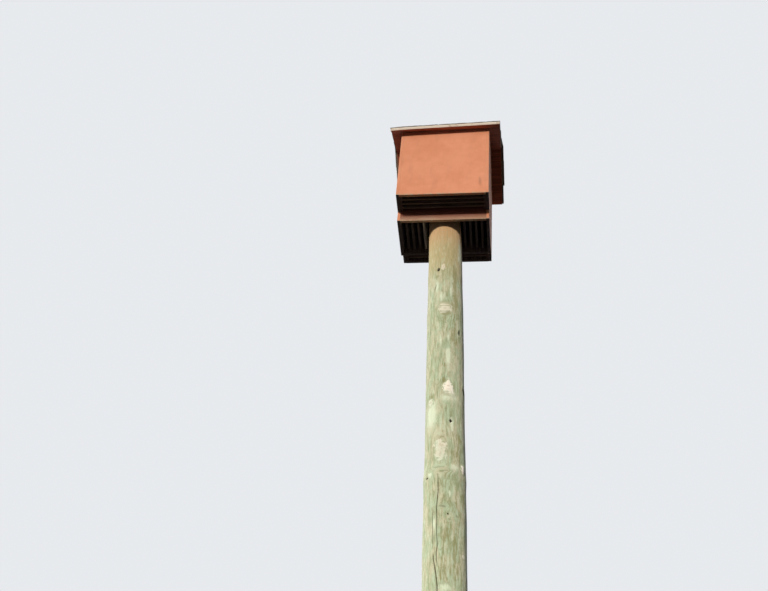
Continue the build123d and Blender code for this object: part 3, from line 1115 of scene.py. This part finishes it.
@dataclass
class Roof:
    """Boarded slopes with pale edges, three courses of mineral shingles on each and ridge caps."""

    shop: Workshop
    board_ease: float = 0.0012
    board_grid: float = 0.02
    board_wave: float = 0.0005
    board_seed: int = 71
    wave_stop: float = 0.03
    shingle: float = 0.0029
    shingle_ease: float = 0.0009
    shingle_grid: tuple[float, float] = (0.014, 0.009)
    shingle_seed: int = 81
    exposure: float = 0.124
    headlap: float = 0.045
    tab: float = 0.305
    gap: float = 0.006
    ridge_gap: float = 0.003
    least_tab: float = 0.03
    tab_shift: float = 0.01
    start: tuple[float, float] = (0.0005, 0.0022)
    curl: float = 0.0008
    curl_reach: float = 0.03
    starter: tuple[float, float] = (0.12, 0.001)
    drips: tuple[tuple[float, float], ...] = ((0.003, 0.002), (0.007, 0.005), (0.010, 0.008))
    rear_drips: tuple[tuple[float, float], ...] = ((0.010, 0.005), (0.0172, 0.012), (0.0145, 0.013))
    eave_skew: float = 0.013
    eave_droop: float = 0.016
    cap_seed: int = 91
    cap_drip: float = 0.0155
    cap_slant: float = 0.0085
    cap_length: float = 0.168
    cap_step: float = 0.127
    cap_wing: float = 0.115
    cap_uneven: float = 0.003
    cap_wave: float = 0.0006
    cap_lift: float = 0.0042
    cap_settle: float = 0.75
    cap_fold: float = 0.006
    cap_end: float = 0.02
    cap_points: int = 31
    cap_spacing: float = 0.012
    board: BareWood = BareWood(
        "deck_underside", Grain.ACROSS, srgb(184, 110, 80), srgb(142, 78, 58), srgb(160, 116, 98))
    granules: Granules = Granules("shingle_granules")

    def deck(self, face: Face) -> None:
        """Boarding of one slope, cut upright at the ridge.

        Args:
            face: The end that the slope falls to.
        """
        plan = self.shop.plan
        middle = plan.depth / 2
        ridge = plan.under_deck(middle)
        low, high = zip(*plan.on_slope(np.zeros(2), np.array([0, plan.deck])))
        corners = [low, (middle, ridge), (middle, ridge + plan.deck / math.cos(plan.pitch)), high]
        half, ease, grid = plan.roof_half, self.board_ease, self.board_grid
        shape = Outline(corners, ease, grid).carried(0, -half, half, grid, ease, {2: 2, 3: 1}, (1, 1))
        free = shape.points[:, 1] < middle - self.wave_stop
        shape.points[:, 2] += ripple(shape.points, self.board_seed, self.board_wave) * free
        self.skew(shape, face)
        name = face.value + "_deck"
        recipes = [self.board, PlyEdge("ply_edge", plan.pitch), self.granules]
        self.shop.add(name + "_boards", self.shop.facing(shape, face), recipes, "deck_board", (name,))

    def tab_shape(self, x0: float, x1: float, start: float, lift: float, reach: float,
                  draw: np.random.Generator) -> Shape:
        """One shingle tab, which lies on the course below and leans back to the deck.

        Its lower edge wanders by 1.1 mm sin(61 x + a) + 0.8 mm sin(173 x + b) and curls up by
        half the curl times 1 + sin(27 x + c).

        Args:
            x0: Left edge.
            x1: Right edge.
            start: Distance of its lower edge up the slope.
            lift: Height of its underside above the deck at the lower edge.
            reach: Length up the slope.
            draw: Random draws.

        Returns:
            The tab.
        """
        plan = self.shop.plan
        thick = self.shingle
        top = min(start + reach, plan.slope_length - self.ridge_gap)
        end_lift = lift * (1 - (top - start) / reach)
        corners = [(start, lift), (top, end_lift), (top, end_lift + thick), (start, lift + thick)]
        outline = Outline(corners, self.shingle_ease, self.shingle_grid[0])
        shape = outline.carried(0, x0, x1, self.shingle_grid[1], self.shingle_ease)
        x, along, above = shape.points.T.copy()
        free = np.clip(1 - (along - start) / self.curl_reach, 0, 1)
        a, b, c = draw.uniform(0, 6.3, 3)
        ragged = 0.0011 * np.sin(x * 61 + a) + 0.0008 * np.sin(x * 173 + b)
        curl = self.curl * free * (np.sin(x * 27 + c) + 1) * 0.5
        y, z = plan.on_slope(along + ragged * free, plan.deck + above + curl)
        shape.points = np.stack([x, y, z], 1)
        shape.values = {"tone": np.full(len(x), draw.uniform())}
        return shape

    def shingles(self, face: Face) -> None:
        """Starter strip and courses of one slope, with every second course shifted by half a tab.

        Args:
            face: The end that the slope falls to.
        """
        half = self.shop.plan.roof_half
        draw = np.random.default_rng(self.shingle_seed + face.turns)
        drips = self.drips if face is Face.FRONT else self.rear_drips
        cover = self.exposure + self.headlap
        reach, past = self.starter
        tabs = [self.tab_shape(-half - past, half + past, self.start[0], 0.0, reach, draw)]
        lift = 0.0
        for course, (left_drip, right_drip) in enumerate(drips):
            lift = self.shingle + lift * (1 - self.exposure / cover)
            shift = self.tab * (0.5 if course % 2 else 0.0) + draw.uniform(-self.tab_shift, self.tab_shift)
            cuts = np.arange(-half + shift - self.tab, half + self.tab, self.tab)
            cuts = cuts[(cuts > -half + self.least_tab) & (cuts < half - self.least_tab)]
            lefts = [-half - left_drip, *(cuts + self.gap / 2)]
            rights = [*(cuts - self.gap / 2), half + right_drip]
            for x0, x1 in zip(lefts, rights):
                start = course * self.exposure + draw.uniform(*self.start)
                tabs.append(self.tab_shape(x0, x1, start, lift, cover, draw))
        shape = joined(tabs)
        self.skew(shape, face)
        shape = self.shop.facing(shape, face)
        node = face.value + "_roofing"
        self.shop.add(face.value + "_shingles", shape, [self.granules], "roofing_felt", (node,))

    def skew(self, shape: Shape, face: Face) -> None:
        """Lets the front eave hang low on the left, over its overhang.

        With x / half as f, the height changes by skew f - droop (f + 1/2)^2, the second term
        only where f is under -1/2.

        Args:
            shape: What is changed, still at the front.
            face: The end that it is for.
        """
        if face is Face.FRONT:
            plan = self.shop.plan
            place = shape.points[:, 0] / plan.roof_half
            free = np.clip(-shape.points[:, 1] / plan.eave_overhang, 0, 1)
            droop = self.eave_droop * np.minimum(place + 0.5, 0) ** 2
            shape.points[:, 2] += free * (self.eave_skew * place - droop)

    def cap(self, start: float, end: float, first: bool, draw: np.random.Generator) -> Shape:
        """One cap shingle, folded over the ridge.

        At s from the ridge line the underside is tan(pitch) (sqrt(s^2 + r^2) - r) under its peak,
        with r as the fold's radius.

        Args:
            start: Where it begins along the ridge.
            end: Where it ends.
            first: True for the one that lies on no other.
            draw: Random draws.

        Returns:
            The cap.
        """
        plan = self.shop.plan
        middle, tan = plan.depth / 2, math.tan(plan.pitch)
        half = plan.roof_half + self.cap_drip
        peak = plan.under_deck(middle) + (plan.deck + self.cap_lift) / math.cos(plan.pitch)
        thick = self.shingle / math.cos(plan.pitch)
        wing = (self.cap_wing + draw.uniform(-self.cap_uneven, self.cap_uneven)) * math.cos(plan.pitch)
        across = np.linspace(-wing, wing, self.cap_points)
        under = peak - tan * (np.sqrt(across**2 + self.cap_fold**2) - self.cap_fold)
        stations = np.linspace(start, end, max(3, int((end - start) / self.cap_spacing)))
        rings = np.empty((len(stations), 2 * self.cap_points, 3))
        rings[..., 0] = stations[:, None]
        rings[..., 1] = middle + np.concatenate([across, across[::-1]])
        rings[..., 2] = np.concatenate([under, under[::-1] + thick])
        if not first:
            settled = self.cap_settle * (rings[..., 0] - start) / self.cap_length
            rings[..., 2] += thick * np.clip(1 - settled, 0, 1)
        at_end = np.clip((np.abs(rings[..., 0]) - half + self.cap_end) / self.cap_end, 0, 1)
        down = np.clip((middle - rings[..., 1]) / wing, 0, 1)
        rings[..., 0] -= np.sign(rings[..., 0]) * self.cap_slant * at_end * down
        shape = through(rings, folded=True)
        shape.points[:, 1] += ripple(shape.points, int(draw.integers(1000)), self.cap_wave)
        shape.values = {"tone": np.full(len(shape.points), draw.uniform())}
        return shape

    def ridge(self) -> None:
        """Cap shingles along the ridge, each lying on the end of the last."""
        draw = np.random.default_rng(self.cap_seed)
        half = self.shop.plan.roof_half + self.cap_drip
        caps = []
        start = -half
        while start < half - self.least_tab:
            caps.append(self.cap(start, min(start + self.cap_length, half), not caps, draw))
            start += self.cap_step
        self.shop.add("ridge_cap_shingles", joined(caps), [self.granules], "roofing_felt", ("ridge_cap",))

    def build(self) -> None:
        """Builds both slopes and the ridge."""
        for face in Face:
            self.deck(face)
            self.shingles(face)
        self.ridge()


def wrapped(angle: np.ndarray) -> np.ndarray:
    """The same angles, between minus half a turn and half a turn."""
    return (angle + math.pi) % (2 * math.pi) - math.pi


class KnotKind(Enum):
    """What a knot in the trunk looks like, as (rise, how open its middle is, how pale its face is)."""

    SOUND = (0.0030, 0.0, 1.0)
    HOLE = (-0.0040, 1.0, 0.0)
    SCAR = (0.0008, 0.0, 0.5)
    SLIT = (-0.0010, 0.34, 0.0)


@dataclass(frozen=True)
class Spot:
    """A place on the trunk: height, degrees round from the front with + to the right, half sizes."""

    height: float
    angle: float
    wide: float
    tall: float

    def apart(self, theta: np.ndarray, z: np.ndarray, radius: np.ndarray,
              tilt: float = 0.0) -> tuple[np.ndarray, np.ndarray]:
        """Distances on the surface from its middle, along its own two axes.

        Args:
            theta: Angles of the points.
            z: Heights of the rows.
            radius: Radius of the trunk in each row.
            tilt: Degrees that its axes are turned by.

        Returns:
            Distances round the trunk and up it, before the turn.
        """
        u = wrapped(theta - math.radians(self.angle)) * radius
        v = z - self.height
        sin, cos = math.sin(math.radians(tilt)), math.cos(math.radians(tilt))
        return u * cos - v * sin, u * sin + v * cos


@dataclass(frozen=True)
class Knot(Spot):
    """A knot with its tilt. Its half width is wide times (1 - point v / tall) at v above its middle."""

    kind: KnotKind = KnotKind.SOUND
    tilt: float = 0.0
    point: float = 0.0


@dataclass(frozen=True)
class Patch(Spot):
    """A soft patch, pale if its tone is above 0 or dull below."""

    tone: float = 1.0


@dataclass(frozen=True)
class Check:
    """A drying check: its path as (height, angle) points from the top down, and its width and depth."""

    path: tuple[tuple[float, float], ...]
    wide: float = 0.0035
    deep: float = 0.009


@dataclass
class Bark:
    """The trunk's surface while it is made, with one value for each row and column of its grid.

    around is the distance round the trunk that the grain is drawn at, out the height over the plain
    cone, and near, face and hole say how the nearest knot looks and how many of its sizes away it is.
    """

    theta: np.ndarray
    z: np.ndarray
    radius: np.ndarray
    out: np.ndarray
    far: float = 4.0

    def __post_init__(self) -> None:
        """Starts with straight grain and no knot near."""
        self.around = self.theta * self.radius
        self.near = np.full_like(self.out, self.far)
        self.face, self.hole = np.zeros_like(self.out), np.zeros_like(self.out)

    def grow(self, knot: Knot) -> None:
        """Adds a knot and bends the grain round it.

        At d half sizes from its middle the surface rises by rise (exp(-d^2) - 0.45 exp(-(d - 1.5)^2
        / 0.12)): a dome and a shallow ring round it. The outline of the knot is made uneven by two
        sine waves of the bearing from its middle. At s from it, in a taller outline, the grain moves
        in by the share min(1, 0.9 / (s^2 + 0.35)) exp(-(s / 4)^2) of its distance.

        Args:
            knot: The knot.
        """
        rise, opened, pale = knot.kind.value
        u, v = knot.apart(self.theta, self.z, self.radius, knot.tilt)
        wide = knot.wide * (1 - knot.point * np.clip(v / knot.tall, -1, 1))
        bearing = np.arctan2(v * knot.wide, u * knot.tall)
        broad = np.sin(2 * bearing + 47 * knot.height)
        uneven = 1 + 0.13 * broad + 0.09 * np.sin(5 * bearing + 31 * knot.height)
        distance = np.sqrt((u / wide) ** 2 + (v / knot.tall) ** 2) * uneven
        spread = np.sqrt((u / knot.wide) ** 2 + (v / (2.6 * knot.tall)) ** 2)
        inward = u * np.minimum(1.0, 0.9 / (spread**2 + 0.35))
        self.around = self.around - inward * np.exp(-((spread / 4) ** 2))
        self.out += rise * (np.exp(-(distance**2)) - 0.45 * np.exp(-((distance - 1.5) ** 2) / 0.12))
        nearest = distance < self.near
        self.near = np.where(nearest, distance, self.near)
        self.face, self.hole = np.where(nearest, pale, self.face), np.where(nearest, opened, self.hole)


@dataclass
class Trunk:
    """Peeled, treated trunk with knots in whorls, drying checks and grain that flows round them."""

    shop: Workshop
    top: float = 7.120
    top_radius: float = 0.098
    taper: float = 0.00175
    knot_seed: int = 101
    wave_seed: int = 111
    columns: int = 150
    crowding: float = 0.42
    coarse: float = 0.020
    fine: float = 0.0062
    fine_from: float = 4.10
    fine_to: float = 6.66
    top_rows: int = 20
    warm_from: float = 6.08
    warm_to: float = 6.60
    crease: float = 60.0
    fuller: float = 0.0045
    fuller_fades: tuple[float, float] = (0.5, 0.12)
    bulges: tuple[tuple[float, float], ...] = ((6.24, 0.0008), (5.34, 0.0012), (4.80, 0.0024))
    bulge_height: float = 0.045
    whorls: tuple[float, ...] = (6.24, 5.91, 5.34, 4.95, 4.80, 4.54)
    low_whorls: float = 4.0
    low_steps: tuple[float, float] = (0.3, 0.5)
    low_count: int = 10
    branches: int = 5
    stray_turn: float = 16.0
    stray_height: float = 0.03
    knot_sizes: tuple[float, float] = (0.008, 0.024)
    taller: tuple[float, float] = (1.0, 1.4)
    open_share: float = 0.25
    lost_share: float = 0.25
    foot: float = 0.1
    seen_above: float = 4.15
    seen_middle: float = 8.0
    seen_half: float = 96.0
    seen: tuple[Knot, ...] = (
        Knot(6.234, -17, 0.0085, 0.013, KnotKind.HOLE),
        Knot(6.253, -2, 0.009, 0.029, KnotKind.SCAR),
        Knot(6.091, -29, 0.0035, 0.030, KnotKind.SLIT, 17),
        Knot(5.919, 4, 0.040, 0.027, KnotKind.SCAR),
        Knot(5.757, 53, 0.007, 0.018, KnotKind.HOLE, 10),
        Knot(5.757, -47, 0.004, 0.024, KnotKind.SLIT),
        Knot(5.347, 14, 0.024, 0.043, KnotKind.SOUND, 7, 0.6),
        Knot(5.355, 72, 0.010, 0.026, KnotKind.HOLE),
        Knot(5.255, -43, 0.017, 0.018, KnotKind.SCAR),
        Knot(5.116, 21, 0.0085, 0.011, KnotKind.HOLE),
        Knot(5.144, 21, 0.005, 0.006, KnotKind.SLIT),
        Knot(4.958, -8, 0.035, 0.028, KnotKind.SCAR),
        Knot(4.912, -8, 0.025, 0.043, KnotKind.SCAR, -6),
        Knot(4.841, 60, 0.014, 0.022, KnotKind.SOUND),
        Knot(4.781, -50, 0.0075, 0.007, KnotKind.HOLE),
        Knot(4.829, -19, 0.028, 0.004, KnotKind.SLIT, 7),
        Knot(4.802, 5, 0.024, 0.003, KnotKind.SLIT, -6),
        Knot(4.595, -1, 0.022, 0.004, KnotKind.SLIT, 10),
        Knot(4.553, 13, 0.0055, 0.007, KnotKind.HOLE),
        Knot(4.550, 36, 0.008, 0.005, KnotKind.SLIT),
        Knot(4.521, 18, 0.008, 0.004, KnotKind.SLIT),
        Knot(4.345, 59, 0.010, 0.010, KnotKind.SCAR),
    )
    patches: tuple[Patch, ...] = (
        Patch(6.18, -22, 0.015, 0.013, -0.9),
        # painted light: this pale patch lightens the trunk's right edge just under the house
        Patch(6.42, 66, 0.020, 0.110, 0.9),
        Patch(6.20, 37, 0.013, 0.110, -1.0),
        Patch(5.98, 40, 0.014, 0.130, -1.0),
        Patch(6.10, -22, 0.008, 0.050),
        Patch(6.06, 24, 0.006, 0.050),
        Patch(6.01, -8, 0.008, 0.035),
        Patch(5.83, 5, 0.022, 0.025, -0.5),
        Patch(5.71, 33, 0.018, 0.070, -0.9),
        Patch(5.70, 15, 0.006, 0.025),
        Patch(5.68, -9, 0.007, 0.045, 0.8),
        Patch(5.56, 14, 0.011, 0.062, 1.3),
        Patch(5.49, 6, 0.017, 0.012, -0.8),
        Patch(5.38, 3, 0.017, 0.022, -1.0),
        Patch(5.29, -39, 0.024, 0.018, -1.1),
        Patch(5.28, 31, 0.019, 0.032, 0.8),
        Patch(5.27, 5, 0.020, 0.032, 0.8),
        Patch(5.17, -39, 0.032, 0.085),
        Patch(5.12, 22, 0.014, 0.020, 0.6),
        Patch(5.09, 25, 0.007, 0.030, 1.2),
        Patch(5.02, 47, 0.019, 0.030, -0.9),
        Patch(5.02, -4, 0.012, 0.020, -0.5),
        Patch(4.91, 35, 0.026, 0.034, -0.7),
        Patch(4.90, -8, 0.024, 0.028, 0.3),
        Patch(4.83, 31, 0.025, 0.019, 0.8),
        Patch(4.79, -40, 0.013, 0.016),
        Patch(4.73, 5, 0.019, 0.032, -0.6),
        Patch(4.67, 18, 0.006, 0.020),
        Patch(4.66, 60, 0.009, 0.055, -0.9),
        Patch(4.50, -25, 0.007, 0.032),
        Patch(4.44, 8, 0.022, 0.060, -0.35),
        Patch(4.38, 30, 0.060, 0.300, -0.3),
        Patch(4.33, 29, 0.009, 0.040, -0.9),
        Patch(4.24, 0, 0.028, 0.050, -0.55),
        Patch(4.16, 6, 0.032, 0.024),
    )
    cracks: tuple[Check, ...] = (
        Check(
            ((4.794, -14.5), (4.761, -13), (4.694, -14), (4.593, -17), (4.480, -18), (4.384, -14),
             (4.262, -11)), 0.005),
        Check(
            ((4.345, -27.5), (4.311, -25.9), (4.277, -22), (4.244, -19), (4.182, -16), (4.08, -13.5)),
            0.0075, 0.010),
        Check(((4.60, -27.8), (4.50, -30.5), (4.43, -27), (4.38, -27)), 0.004, 0.004),
        Check(((6.05, 128), (5.70, 131), (5.35, 129), (4.90, 133)), 0.006, 0.016),
        Check(((5.60, -120), (5.25, -118), (4.95, -121)), 0.005),
        Check(((4.60, 178), (4.00, 176), (3.20, 179), (2.60, 176)), 0.008, 0.018),
        Check(((3.70, 32), (3.20, 30), (2.70, 33), (2.10, 31)), 0.007, 0.018),
        Check(((2.40, -62), (1.90, -60), (1.30, -63), (0.70, -61)), 0.006, 0.015),
        Check(((1.60, 95), (1.00, 97), (0.30, 96)), 0.007, 0.016),
        Check(((3.30, -140), (2.60, -143), (1.90, -141)), 0.005),
    )
    wood: PeeledTrunk = PeeledTrunk("treated_trunk")

    def rows(self) -> np.ndarray:
        """Heights of the rows: close where the photograph shows the trunk, wider elsewhere.

        Returns:
            The heights from the ground up.
        """
        low = np.linspace(0, self.fine_from, int(self.fine_from / self.coarse), endpoint=False)
        count = int((self.fine_to - self.fine_from) / self.fine)
        middle = np.linspace(self.fine_from, self.fine_to, count, endpoint=False)
        return np.concatenate([low, middle, np.linspace(self.fine_to, self.top, self.top_rows)])

    def knots(self) -> list[Knot]:
        """The knots that are seen, and others in whorls of five on the sides that aren't.

        Returns:
            The knots, in the order that they are carved.
        """
        draw = np.random.default_rng(self.knot_seed)
        between = 360 / self.branches
        low = self.low_whorls - np.cumsum(draw.uniform(*self.low_steps, self.low_count))
        found = list(self.seen)
        for height in (*self.whorls, *low):
            for turn in np.arange(self.branches) * between + draw.uniform(0, between):
                angle = (turn + draw.uniform(-self.stray_turn, self.stray_turn) + 180) % 360 - 180
                size = draw.uniform(*self.knot_sizes)
                place = height + draw.uniform(-self.stray_height, self.stray_height)
                kind = KnotKind.HOLE if draw.uniform() < self.open_share else KnotKind.SOUND
                in_view = place > self.seen_above and abs(angle - self.seen_middle) < self.seen_half
                if in_view or draw.uniform() < self.lost_share or place < self.foot:
                    continue
                tall = size * draw.uniform(*self.taller)
                found.append(Knot(float(place), float(angle), size, tall, kind))
        return found

    def unevenness(self, theta: np.ndarray, z: np.ndarray) -> np.ndarray:
        """Height of the peeled surface over a plain cone.

        It is a sum of long and short sine waves round and up the trunk, with random phases, of
        bulges with the size times exp(-((z - height) / bulge_height)^2), and of a fullness to the
        right, (1 + sin(theta)) / 2, that fades out at the ground and under the house.

        Args:
            theta: Angles of the points.
            z: Heights of the rows.

        Returns:
            The heights.
        """
        p = np.random.default_rng(self.wave_seed).uniform(0, 2 * math.pi, 8)
        out = 0.0011 * np.cos(2 * theta + p[0] + 0.7 * z) + 0.0008 * np.cos(3 * theta + p[1] - 0.9 * z)
        swell = 0.0009 * np.sin(z * 5.1 + p[2] + np.cos(theta))
        out += swell + 0.0005 * np.sin(z * 17 + p[3] + 2 * np.sin(theta))
        out += 0.00035 * np.sin(9 * theta + 1.3 * z + p[4]) * np.sin(z * 8.3 + 2 * theta + p[5])
        out += 0.00025 * np.sin(17 * theta - 2.1 * z + p[6]) * np.sin(z * 13.7 - 3 * theta + p[7])
        for height, size in self.bulges:
            out += size * np.exp(-(((z - height) / self.bulge_height) ** 2))
        foot, top = self.fuller_fades
        exposed = np.clip(z / foot, 0, 1) * np.clip((self.fine_to - z) / top, 0, 1)
        return out + self.fuller * exposed * (1 + np.sin(theta)) / 2

    def tracked(self, theta: np.ndarray, z: np.ndarray) -> tuple[np.ndarray, np.ndarray, np.ndarray]:
        """Moves the columns so that one of them runs along each check.

        A column follows its check's path, which wanders by 0.012 sin(37 z + middle), and lets go of
        it from its ends on, over 0.35 of the half length. Its neighbours come along by exp(-(angle
        / 0.30)^2), and the two beside it stand at the check's edges. It is all done twice, because
        a check also pulls at the columns of the others.

        Args:
            theta: Angles of the columns, by rows and columns; they are changed.
            z: Heights of the rows.

        Returns:
            The angles, how deep the grooves are and how dark.
        """
        groove, dark = np.zeros_like(theta), np.zeros_like(theta)
        even, z = theta[0].copy(), z[:, 0]
        for one in self.cracks * 2:
            path = np.array(one.path)[::-1]
            heights, angles = path[:, 0], np.radians(path[:, 1])
            column = int(np.argmin(np.abs(even - angles.mean())))
            middle = (heights[0] + heights[-1]) / 2
            half = (heights[-1] - heights[0]) / 2
            place = np.abs(z - middle) / half
            opened = np.sqrt(1 - np.clip(place, 0, 1) ** 2) * (z > heights[0]) * (z < heights[-1])
            hold = np.clip(1.35 - place, 0, 0.35) / 0.35
            wander = np.interp(z, heights, angles) + 0.012 * np.sin(z * 37 + middle)
            near = np.exp(-((wrapped(even - even[column]) / 0.30) ** 2))
            theta += (hold * (wander - theta[:, column]))[:, None] * near[None, :]
            spread = one.wide * (0.35 + 0.65 * opened) / 2 / self.top_radius
            for step in (-1, 1):
                beside = (column + step) % self.columns
                away = wrapped(theta[:, beside] - theta[:, column])
                theta[:, beside] += hold * (step * spread - away)
            groove[:, column] = np.maximum(groove[:, column], one.deep * opened)
            dark[:, column] = np.maximum(dark[:, column], np.minimum(1, opened * 1.6))
        return theta, groove, dark

    def build(self) -> None:
        """Builds the trunk as one grid of columns by rows, pushed in and out along its radius.

        Column k starts at the angle e - crowding sin(e), with e even round the trunk, so that the
        columns are closest at the front. A patch adds tone exp(-0.8 (u^2 + v^2)) at u and v half
        sizes from its middle.
        """
        z = self.rows()[:, None]
        even = np.linspace(-math.pi, math.pi, self.columns, endpoint=False)
        theta, groove, crack = self.tracked(even - self.crowding * np.sin(even) + 0 * z, z)
        radius = self.top_radius + self.taper * (self.top - z)
        bark = Bark(theta, z, radius, self.unevenness(theta, z))
        for knot in self.knots():
            bark.grow(knot)
        tone = np.zeros_like(theta)
        for patch in self.patches:
            u, v = patch.apart(theta, z, radius)
            tone += patch.tone * np.exp(-0.8 * ((u / patch.wide) ** 2 + (v / patch.tall) ** 2))
        reach = radius + bark.out - groove
        upward = np.broadcast_to(z, theta.shape)
        across = reach * np.sin(theta) - self.shop.plan.lean * z
        points = np.stack([across, -reach * np.cos(theta), upward], -1)
        turn = bark.around / radius
        flow = np.stack([np.sin(turn) * self.top_radius, -np.cos(turn) * self.top_radius, upward], -1)
        warm = np.clip((upward - self.warm_from) / (self.warm_to - self.warm_from), 0, 1)
        shape = through(points)
        values = {"near": bark.near, "face": bark.face, "hole": bark.hole}
        values |= {"tone": tone, "crack": crack, "warm": warm}
        shape.values = {name: value.ravel() for name, value in values.items()}
        shape.values["flow"] = flow.reshape(-1, 3)
        self.shop.add("trunk", shape, [self.wood], "treated_trunk", ("pole",), self.crease, placed=False)


@dataclass(frozen=True)
class Lamp:
    """A distant lamp: degrees round from the front, degrees up, strength, degrees of softness, colour."""

    name: str
    turn: float
    height: float
    strength: float
    softness: float
    colour: Colour

    def hang(self) -> None:
        """Hangs the lamp so that it shines at the object."""
        light = bpy.data.lights.new(self.name, "SUN")
        light.energy, light.angle, light.color = self.strength, math.radians(self.softness), self.colour
        holder = bpy.data.objects.new(self.name, light)
        holder.rotation_euler = (math.pi / 2 - math.radians(self.height), 0, math.radians(self.turn))
        bpy.context.scene.collection.objects.link(holder)


@dataclass
class Stage:
    """Plain floor and backdrop, soft light from the front left, and the camera of the photograph."""

    lamps: tuple[Lamp, ...] = (
        Lamp("key", -17, 13, 2.85, 5, (1.0, 0.96, 0.90)),
        Lamp("front_fill", -24, 32, 1.08, 62, (1.0, 0.98, 0.95)),
        Lamp("left_fill", -84, 28, 1.2, 62, (0.80, 0.92, 1.0)),
        Lamp("back_fill", 170, 30, 1.45, 62, (0.96, 0.97, 1.0)),
    )
    sky_stops: tuple[tuple[float, Colour], ...] = (
        (0.0, (0.062, 0.054, 0.052)), (0.04, (0.085, 0.08, 0.085)),
        (0.35, (0.13, 0.155, 0.20)), (1.0, (0.24, 0.29, 0.38)))
    sky_left: float = 1.35
    sky_right: float = 0.55
    backdrop: Colour = (0.80, 0.82, 0.85)
    floor_half: float = 60.0
    floor_colour: Colour = (0.60, 0.61, 0.62)
    image: tuple[int, int] = (768, 591)
    focal: float = 1100.0
    sensor: float = 36.0
    farthest: float = 200.0
    eye: Triple = (0.23265, -4.53730, 1.59950)
    yaw: float = math.radians(9.9062)
    tilt: float = math.radians(44.5143)
    roll: float = math.radians(-5.9080)

    def sky(self) -> None:
        """Pale to the eye; as light it is bright above, dark below and weaker from the right."""
        world = bpy.data.worlds.new("studio")
        bpy.context.scene.world = world
        sheet = Tree(world)
        place = sheet.node("TexCoord", "Generated", {})
        colour = sheet.node("ValToRGB", "Color", {"Fac": sheet.part(place, "Z")})
        stops = colour.node.color_ramp.elements
        for height, _ in self.sky_stops[1:-1]:
            stops.new(height)
        for stop, (height, tint) in zip(stops, self.sky_stops):
            stop.position, stop.color = height, (*tint, 1)
        sides = {"From Min": -1.0, "From Max": 1.0, "To Min": self.sky_left, "To Max": self.sky_right}
        strength = sheet.node("MapRange", "Result", {"Value": sheet.part(place, "X")} | sides)
        light = sheet.node("Background", 0, {"Color": colour, "Strength": strength})
        seen = sheet.node("Background", 0, {"Color": self.backdrop})
        share = sheet.node("LightPath", "Is Camera Ray", {})
        rays = share.node.outputs
        for ray in ("Is Glossy Ray", "Is Transmission Ray"):
            share = sheet.maths("MAXIMUM", share, rays[ray])
        sheet.surface("World", sheet.node("MixShader", 0, {0: share, 1: light, 2: seen}))

    def floor(self) -> None:
        """Pale floor at ground level, which takes the shadow."""
        mesh = bpy.data.meshes.new("floor")
        half = self.floor_half
        corners = [(-half, -half, 0), (half, -half, 0), (half, half, 0), (-half, half, 0)]
        mesh.from_pydata(corners, [], [(0, 1, 2, 3)])
        ground = bpy.data.objects.new("floor", mesh)
        bpy.context.scene.collection.objects.link(ground)
        mesh.materials.append(NodeSheet("floor_paint").finish(self.floor_colour, 0.9, shine=0.1))
        ground.visible_diffuse = False

    def camera(self) -> None:
        """Camera fitted to the photograph: yaw about Z, tilt about X, then roll about the view."""
        lens = bpy.data.cameras.new("photo_view")
        lens.sensor_width = self.sensor
        lens.lens = self.focal / self.image[0] * self.sensor
        lens.clip_end = self.farthest
        holder = bpy.data.objects.new("photo_view", lens)
        turn = Matrix.Rotation(self.yaw, 4, "Z") @ Matrix.Rotation(self.tilt, 4, "X")
        turn = turn @ Matrix.Rotation(self.roll, 4, "Y") @ Matrix.Rotation(math.pi / 2, 4, "X")
        holder.matrix_world = Matrix.Translation(self.eye) @ turn
        bpy.context.scene.collection.objects.link(holder)
        bpy.context.scene.camera = holder

    def build(self) -> None:
        """Builds the stage."""
        self.sky()
        self.floor()
        for lamp in self.lamps:
            lamp.hang()
        self.camera()
        bpy.context.scene.view_settings.view_transform = "Standard"


def main() -> None:
    """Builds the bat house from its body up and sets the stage."""
    logging.basicConfig(level=logging.INFO, format="%(message)s")
    shop = Workshop(Plan())
    for section in (Body(shop), RoostBoards(shop), Framing(shop), Roof(shop), Trunk(shop), Stage()):
        section.build()
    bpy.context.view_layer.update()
    LOG.info("%d pieces", shop.made)


if __name__ == "__main__":
    main()
